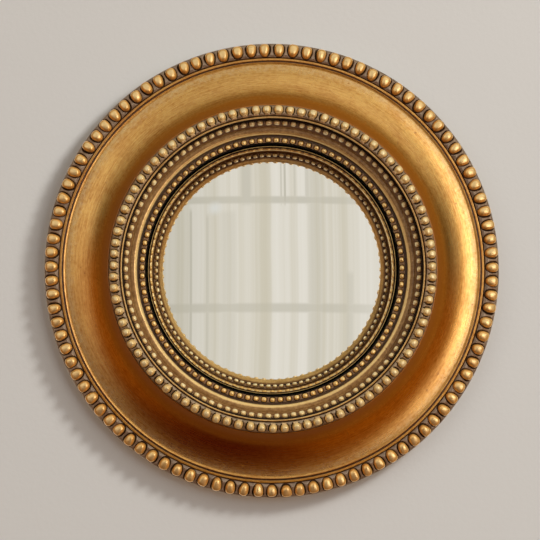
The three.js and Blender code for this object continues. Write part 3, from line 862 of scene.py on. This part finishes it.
def beadTemplate(name, row):
    # one bead at the origin: X outwards, Y round the ring, Z off the strip
    bare, buriedDirtAndShade = beadShape["bare"], beadShape["buriedDirtAndShade"]
    verts, faces, mask = [(0, 0, row["top"] * mm)], [], [bare]
    around = row["around"]
    levels = []
    for level in row["levels"]:
        a = math.radians(level)
        height = row["waist"] + (row["top"] - row["waist"]) * max(0.0, math.cos(a)) ** beadShape["crown"]
        # glaze and painted shade darken each bead towards its foot; its top is worn pale, wear and painted
        # highlight
        glazeShadeAndSheen = 0.65 * softStep(level, 72, 98) + bare * softStep(level, 60, 15)
        levels.append((math.sin(a) ** beadShape["bulge"], height, glazeShadeAndSheen))
    # the buried foot is black, which shades the bead's base: grime and painted shade
    levels.append((beadShape["foot"], row["floor"] - beadShape["sunk"], buriedDirtAndShade))
    for spread, height, glazeShadeAndSheen in levels:
        for k in range(around):
            x, y = beadOutline(row, 2 * math.pi * k / around)
            raised = 1 + row["rise"] * x * spread / (row["length"] / 2) if height > row["waist"] else 1
            verts.append((x * spread * mm, y * spread * mm, height * raised * mm))
            mask.append(glazeShadeAndSheen)
    for k in range(around):
        n = (k + 1) % around
        faces.append((0, 1 + k, 1 + n))
        for level in range(len(levels) - 1):
            a, b = 1 + level * around, 1 + (level + 1) * around
            faces.append((a + k, b + k, b + n, a + n))
    last = 1 + (len(levels) - 1) * around
    faces.append(tuple(last + k for k in range(around))[::-1])
    return meshOf(name, verts, faces, mask)


def stripMesh(name, row):
    # the strip between the beads: raised webs with a groove sunk round each bead
    steps, width, middle, gap = (row[key] for key in ("steps", "width", "middle", "gap"))
    total, buriedDirtAndShade = row["count"] * steps, beadShape["buriedDirtAndShade"]
    verts, faces, mask = [], [], []
    halfPitch = math.pi * onSeat(row, width / 2, 0)[0] / row["count"]
    for i in range(total):
        turn = 2 * math.pi * i / total
        y = halfPitch * abs(2 * (i / steps % 1.0) - 1)  # from the middle of the nearest bead
        # the strip's edges on its seat, here and at the far side, are black: grime and painted shade where it
        # meets its ring
        verts.append(onRing(row, 0, 0, turn))
        mask.append(buriedDirtAndShade)
        for k in range(steps + 1):
            s = width * k / steps
            x = s - middle
            angle = math.atan2(y / row["beadWidth"], x / row["length"])
            away = math.hypot(x, y) - math.hypot(*beadOutline(row, angle))
            lift = softStep(away, gap * 0.4, gap * 1.3)
            atEdge = softStep(min(s, width - s), 0.0, width * 0.16)
            top = row["edge"] + (row["web"] - row["edge"]) * atEdge
            t = row["floor"] + (top - row["floor"]) * lift if 0 < k < steps else row["edge"]
            # painted shade, with some grime, in the groove round each bead
            shade = 1.55 - 1.5 * softStep(away, gap * 0.5, gap * 2.0)
            # painted shade over the strip's far part, from where the row sets its start
            shade = max(shade, 1.4 * softStep(s, row["paintedShadeFrom"] - 0.4, row["paintedShadeFrom"] + 0.4))
            # a gilt foot joins the bead to the inner edge
            foot = softStep(row["foot"] - y, -0.2, 0.4) * softStep(middle - s, 0.0, 1.0)
            t = max(t, (row["web"] + 0.3) * foot * softStep(s, -0.4, 0.6))
            verts.append(onRing(row, s, t, turn))
            mask.append(shade * (1 - foot) + beadShape["bare"] * foot)
        verts.append(onRing(row, width, 0, turn))
        mask.append(buriedDirtAndShade)
    across = steps + 3
    for i in range(total):
        n = (i + 1) % total
        for k in range(across):
            m = (k + 1) % across
            faces.append((i * across + k, i * across + m, n * across + m, n * across + k))
    return meshOf(name, verts, faces, mask)


def turnedBy(tree, *angles):
    # one turn after another, each about the axes that the ones before it leave
    made = None
    for spot in angles:
        turn = wired(tree, "FunctionNodeEulerToRotation", {0: spot})
        made = turn if made is None else wired(
            tree, "FunctionNodeRotateRotation", {0: made, 1: turn}, rotation_space="LOCAL")
    return made


def finished(tree, geometry, material):
    return wired(tree, "GeometryNodeSetMaterial", {"Geometry": geometry, "Material": material})


def copiesOn(tree, points, piece, material, **inputs):
    # a piece on every point, made real
    shape = wired(tree, "GeometryNodeObjectInfo", {"Object": piece}, "Geometry")
    inputs.update(Points=points, Instance=shape)
    copies = wired(tree, "GeometryNodeInstanceOnPoints", inputs)
    return finished(tree, wired(tree, "GeometryNodeRealizeInstances", {0: copies}), material)


def beadTree():
    # sets a bead on every point of a ring, each a little different, and lays them on their strip
    tree, given, wanted = newTree("Geometry", "beadRow", {
        "Strip": "Geometry", "Bead": "Object", "Bead Material": "Material", "Strip Material": "Material",
        "Count": 99, "Ring Radius": 0.18, "Ring Height": 0.01, "Tilt": 0.0, "Jitter": 0.04,
        "Dents": 0.0002, "Dent Size": 0.006, "Seed": 1,
    }, {"Moulding": "Geometry"})
    count, radius, jitter = given["Count"], given["Ring Radius"], given["Jitter"]

    def anyUpTo(high, seedShift):
        inputs = {2: -1.0, 3: high, "Seed": plus(tree, given["Seed"], seedShift)}
        return wired(tree, "FunctionNodeRandomValue", inputs, 1, data_type="FLOAT")

    index = add(tree, "GeometryNodeInputIndex").outputs[0]
    turn = times(tree, calc(tree, "DIVIDE", plus(tree, index, 0.5), count), 2 * math.pi)
    shift = times(tree, anyUpTo(1.0, 7), calc(tree, "DIVIDE", times(tree, jitter, 2.4), count))
    turn = plus(tree, turn, shift)
    x = times(tree, radius, calc(tree, "SINE", turn))
    y = calc(tree, "SUBTRACT", backY, given["Ring Height"])
    z = plus(tree, axisZ, times(tree, radius, calc(tree, "COSINE", turn)))
    points = wired(tree, "GeometryNodePoints", {"Count": count, "Position": together(tree, x, y, z)})

    # bead axes in the ring's plane: X outwards, Z towards the viewer, then leaned by the seat's tilt
    askew = [times(tree, anyUpTo(1.0, seedShift), times(tree, jitter, 2.2)) for seedShift in (21, 22, 23)]
    rotation = turnedBy(
        tree,
        together(tree, y=calc(tree, "SUBTRACT", turn, math.pi / 2)),
        (math.pi / 2, 0, 0),
        together(tree, y=given["Tilt"]),
        together(tree, *askew),
    )
    size = [plus(tree, 1.0, times(tree, anyUpTo(high, seedShift), jitter))
            for high, seedShift in ((1.0, 3), (1.0, 4), (0.35, 5))]
    beads = copiesOn(tree, points, given["Bead"], given["Bead Material"],
                     Rotation=rotation, Scale=together(tree, *size))
    joined = add(tree, "GeometryNodeJoinGeometry")
    for part in (finished(tree, given["Strip"], given["Strip Material"]), beads):
        feed(tree, joined.inputs[0], part)

    # dents and lumps of the casting, the same push for neighbouring points of bead and strip
    where = add(tree, "GeometryNodeInputPosition").outputs[0]
    lumps = noise(tree, where, calc(tree, "DIVIDE", 1.0, given["Dent Size"]), 1.5, output="Color")
    push = scaled(tree, vectorCalc(tree, "SUBTRACT", lumps, (0.5, 0.5, 0.5)), given["Dents"])
    recess = wired(tree, "GeometryNodeInputNamedAttribute", {"Name": "recess"}, data_type="FLOAT")
    # the strip's seat and the beads' buried feet stay where they are
    free = wired(tree, "FunctionNodeCompare", {0: recess, 1: beadShape["buriedDirtAndShade"] - 0.05},
                 data_type="FLOAT", operation="LESS_THAN")
    moved = wired(tree, "GeometryNodeSetPosition",
                  {"Geometry": joined.outputs[0], "Selection": free, "Offset": push})
    feed(tree, wanted[0], moved)
    return tree


beadRowTree = beadTree()


def grow(piece, tree, values):
    # runs a tree on a piece with its named inputs set
    modifier = piece.modifiers.new(tree.name, "NODES")
    modifier.node_group = tree
    for item in tree.interface.items_tree:
        if item.item_type == "SOCKET" and item.in_out == "INPUT" and item.name in values:
            modifier[item.identifier] = values[item.name]
    bake(piece)


beadReach = 189.45    # mm from the axis: no moulding goes further out


def makeBeadRow(kind, seed):
    row = beadRows[kind]
    template = newPiece(f"{kind}_bead", beadTemplate(f"{kind}_bead", row))
    name = f"{kind}_bead_row"
    piece = newPiece(name, stripMesh(name, row))
    radius, height = onSeat(row, row["middle"], 0)
    beadFinish, stripFinish = (finishes[finish] for finish in row["materials"])
    grow(piece, beadRowTree, {
        "Bead": template, "Bead Material": beadFinish, "Strip Material": stripFinish,
        "Count": row["count"], "Ring Radius": radius * mm, "Ring Height": height * mm,
        "Tilt": math.radians(row["tilt"]), "Jitter": beadShape["jitter"], "Dents": row["wobble"] * 2 * mm,
        "Dent Size": row["beadWidth"] * 0.9 * mm, "Seed": seed,
    })
    bpy.data.objects.remove(template)
    limit = beadReach * mm
    for vertex in piece.data.vertices:
        across = math.hypot(vertex.co.x, vertex.co.z - axisZ)
        if across > limit:
            vertex.co.x *= limit / across
            vertex.co.z = axisZ + (vertex.co.z - axisZ) * limit / across
    settle(piece, "mirror", row["slot"], f"{kind}_bead_moulding")
    print("beads", kind, len(piece.data.vertices), len(piece.data.polygons))


for number, kind in enumerate(beadRows):
    makeBeadRow(kind, 11 + number * 50)


# back: hanger, screws, bumpers

hanger = {
    "eyeRadius": 164.3, "eyeHeight": -2.4, "lean": 0.057174, "halfWidth": 9.0, "leg": 8.5,
    "corner": 2.5, "wire": 1.1,
}


def arcPoints(x, z, radius, start, end, steps):
    angles = [math.radians(start + (end - start) * i / steps) for i in range(steps + 1)]
    return [(x + radius * math.cos(a), z + radius * math.sin(a)) for a in angles]


def makeHangerRing():
    data = bpy.data.curves.new("hanger_ring_wire", "CURVE")
    data.dimensions = "3D"
    line = data.splines.new("POLY")
    half, leg, corner = hanger["halfWidth"], hanger["leg"], hanger["corner"]
    path = arcPoints(half - corner, corner, corner, 270, 360, 8)
    path += arcPoints(0, leg, half, 0, 180, 30)
    path += arcPoints(corner - half, corner, corner, 180, 270, 8)
    line.points.add(len(path) - 1)
    lean = hanger["lean"]
    for spot, (x, z) in zip(line.points, path):
        y = -z * math.sin(lean) - hanger["eyeHeight"]
        rise = z * math.cos(lean) + hanger["eyeRadius"]
        spot.co = (x * mm, backY + y * mm, axisZ + rise * mm, 1)
    line.use_cyclic_u = True
    data.bevel_depth = hanger["wire"] * mm
    data.bevel_resolution = 5
    wire = bpy.data.objects.new("hanger_ring_wire", data)
    scene.collection.objects.link(wire)
    mesh = evaluatedMesh(wire)
    bpy.data.objects.remove(wire)
    piece = newPiece("hanger_ring_wire", cleaned(mesh), finishes["brass"])
    settle(piece, "hook_ring", "brassed_steel", "hanger_ring")


# merge in metres, rounding in mm, flat and sharp in degrees
strap = {"merge": 0.00001, "flat": 2, "rounding": 0.14, "sharp": 40}


def makeStrap():
    # the CAD strap with its loose triangles joined and its edges rounded
    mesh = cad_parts["hanger_strap"].data.copy()
    mesh.materials.clear()
    work = bmesh.new()
    work.from_mesh(mesh)
    bmesh.ops.remove_doubles(work, verts=work.verts, dist=strap["merge"])
    limit = math.radians(strap["flat"])
    bmesh.ops.dissolve_limit(work, angle_limit=limit, verts=work.verts, edges=work.edges)
    work.to_mesh(mesh)
    work.free()
    piece = newPiece("hanger_strap_sheet", mesh, finishes["brass"])
    bevel = piece.modifiers.new("edges", "BEVEL")
    bevel.width = strap["rounding"] * mm
    bevel.segments = 2
    bevel.limit_method = "ANGLE"
    bevel.angle_limit = math.radians(strap["sharp"])
    bake(piece)
    for face in piece.data.polygons:
        face.use_smooth = True
    settle(piece, "mirror", "brassed_steel", "hanger_strap")


screwSets = {
    "board": {"head": 2.8, "headHeight": 1.3, "shank": 1.2, "length": 7.6, "base": -0.3,
              "spots": [(124.1, math.pi / 6 + i * math.pi / 3) for i in range(6)],
              "nodes": [f"board_screw_{i + 1}" for i in range(6)]},
    "hanger": {"head": 3.0, "headHeight": 1.3, "shank": 1.4, "length": 11.0, "base": -1.4,
               "spots": [(153.3, 0.0), (137.3, 0.0)],
               "nodes": ["hanger_screw_1", "hanger_screw_2"]},
}
screwShape = {
    # the head's outline, in shares of its radius and height
    "pan": [(0.94, 0.0), (1.0, 0.16), (0.985, 0.38), (0.90, 0.68), (0.74, 0.9), (0.52, 0.98), (0, 1.0)],
    "slot": (1.15, 0.9, 0.55),    # length as a share of the head's radius, height and width of the cutter in mm
    "point": 1.8, "sides": 20, "seed": 5,
}


def screwTemplate(name, screw):
    # pan head with a cross recess, head towards +Y
    head, high, shank, length = (screw[key] for key in ("head", "headHeight", "shank", "length"))
    outline = [(0, -length), (shank * 0.3, -length), (shank, screwShape["point"] - length), (shank, 0.0)]
    outline += [(head * r, high * y) for r, y in screwShape["pan"]]
    mesh = lathed(name, outline, screwShape["sides"],
                  lambda r, turn, y: (r * math.cos(turn) * mm, y * mm, r * math.sin(turn) * mm))
    template = newPiece(name, mesh)
    reach, depth, wide = screwShape["slot"]
    for turn in (0, math.pi / 2):
        work = bmesh.new()
        bmesh.ops.create_cube(work, size=1)
        bmesh.ops.scale(work, vec=(head * reach * mm, depth * mm, wide * mm), verts=work.verts)
        bmesh.ops.translate(work, vec=(0, high * mm, 0), verts=work.verts)
        bmesh.ops.rotate(work, cent=(0, 0, 0), matrix=Matrix.Rotation(turn, 3, "Y"), verts=work.verts)
        blade = bpy.data.meshes.new("blade")
        work.to_mesh(blade)
        work.free()
        cutter = newPiece("blade", blade)
        cut = template.modifiers.new("slot", "BOOLEAN")
        cut.operation = "DIFFERENCE"
        cut.object = cutter
        bake(template)
        bpy.data.objects.remove(cutter)
    for face in template.data.polygons:
        face.use_smooth = abs(face.normal.y) < 0.97 and face.center.y < high * 0.95 * mm
    return template


def screwTree():
    # drives a screw in at every point of a mesh, each turned its own way
    tree, given, wanted = newTree(
        "Geometry", "screwSet",
        {"Places": "Geometry", "Screw": "Object", "Finish": "Material", "Seed": 0}, {"Screws": "Geometry"})
    inputs = {3: math.pi, "Seed": given["Seed"]}
    anyTurn = wired(tree, "FunctionNodeRandomValue", inputs, 1, data_type="FLOAT")
    driven = copiesOn(tree, given["Places"], given["Screw"], given["Finish"],
                      Rotation=turnedBy(tree, together(tree, y=anyTurn)))
    feed(tree, wanted[0], driven)
    return tree


def makeScrews():
    tree = screwTree()
    for kind, screw in screwSets.items():
        template = screwTemplate(f"{kind}_screw", screw)
        mesh = bpy.data.meshes.new(f"{kind}_screws")
        mesh.from_pydata([place(r, turn, screw["base"]) for r, turn in screw["spots"]], [], [])
        piece = newPiece(f"{kind}_screws", mesh)
        grow(piece, tree, {"Screw": template, "Finish": finishes["steel"], "Seed": screwShape["seed"]})
        bpy.data.objects.remove(template)
        settle(piece, "mirror", "screw_steel", *screw["nodes"])


bumper = {"radius": 8.0, "top": 6.5, "thickness": 5.0, "gap": 0.3, "circle": 169.986, "count": 4, "sides": 40}


def makeBumpers():
    gap, thick, wide, top = (bumper[key] for key in ("gap", "thickness", "radius", "top"))
    outline = [
        (0, -gap), (wide - 0.4, -gap), (wide, -gap - 0.4), (wide, -thick + 1.9),
        (wide - 0.35, -thick + 1.0), (top + 0.45, -thick + 0.22), (top, -thick), (0, -thick),
    ]
    for i in range(bumper["count"]):
        centre = place(bumper["circle"], 2 * math.pi * (i + 0.5) / bumper["count"], 0)
        name = f"wall_bumper_dome_{i + 1}"
        mesh = lathed(name, outline, bumper["sides"],
                      lambda r, turn, h: centre + Vector((r * math.cos(turn), -h, r * math.sin(turn))) * mm)
        for face in mesh.polygons:
            face.use_smooth = abs(face.normal.y) < 0.99
        settle(newPiece(name, mesh, finishes["rubber"]), "mirror", "rubber", f"wall_bumper_{i + 1}")


makeHangerRing()
makeStrap()
makeScrews()
makeBumpers()
print("back ready")

# CAD nodes that stay: what the board and the glass cover
keptNodes = {"glass_packing": "felt", "retaining_ring": "plywood"}
keptNodes.update({f"retaining_screw_{i + 1}": "steel" for i in range(6)})
for node, finish in keptNodes.items():
    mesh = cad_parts[node].data
    mesh.materials.clear()
    mesh.materials.append(finishes[finish])

print("done")
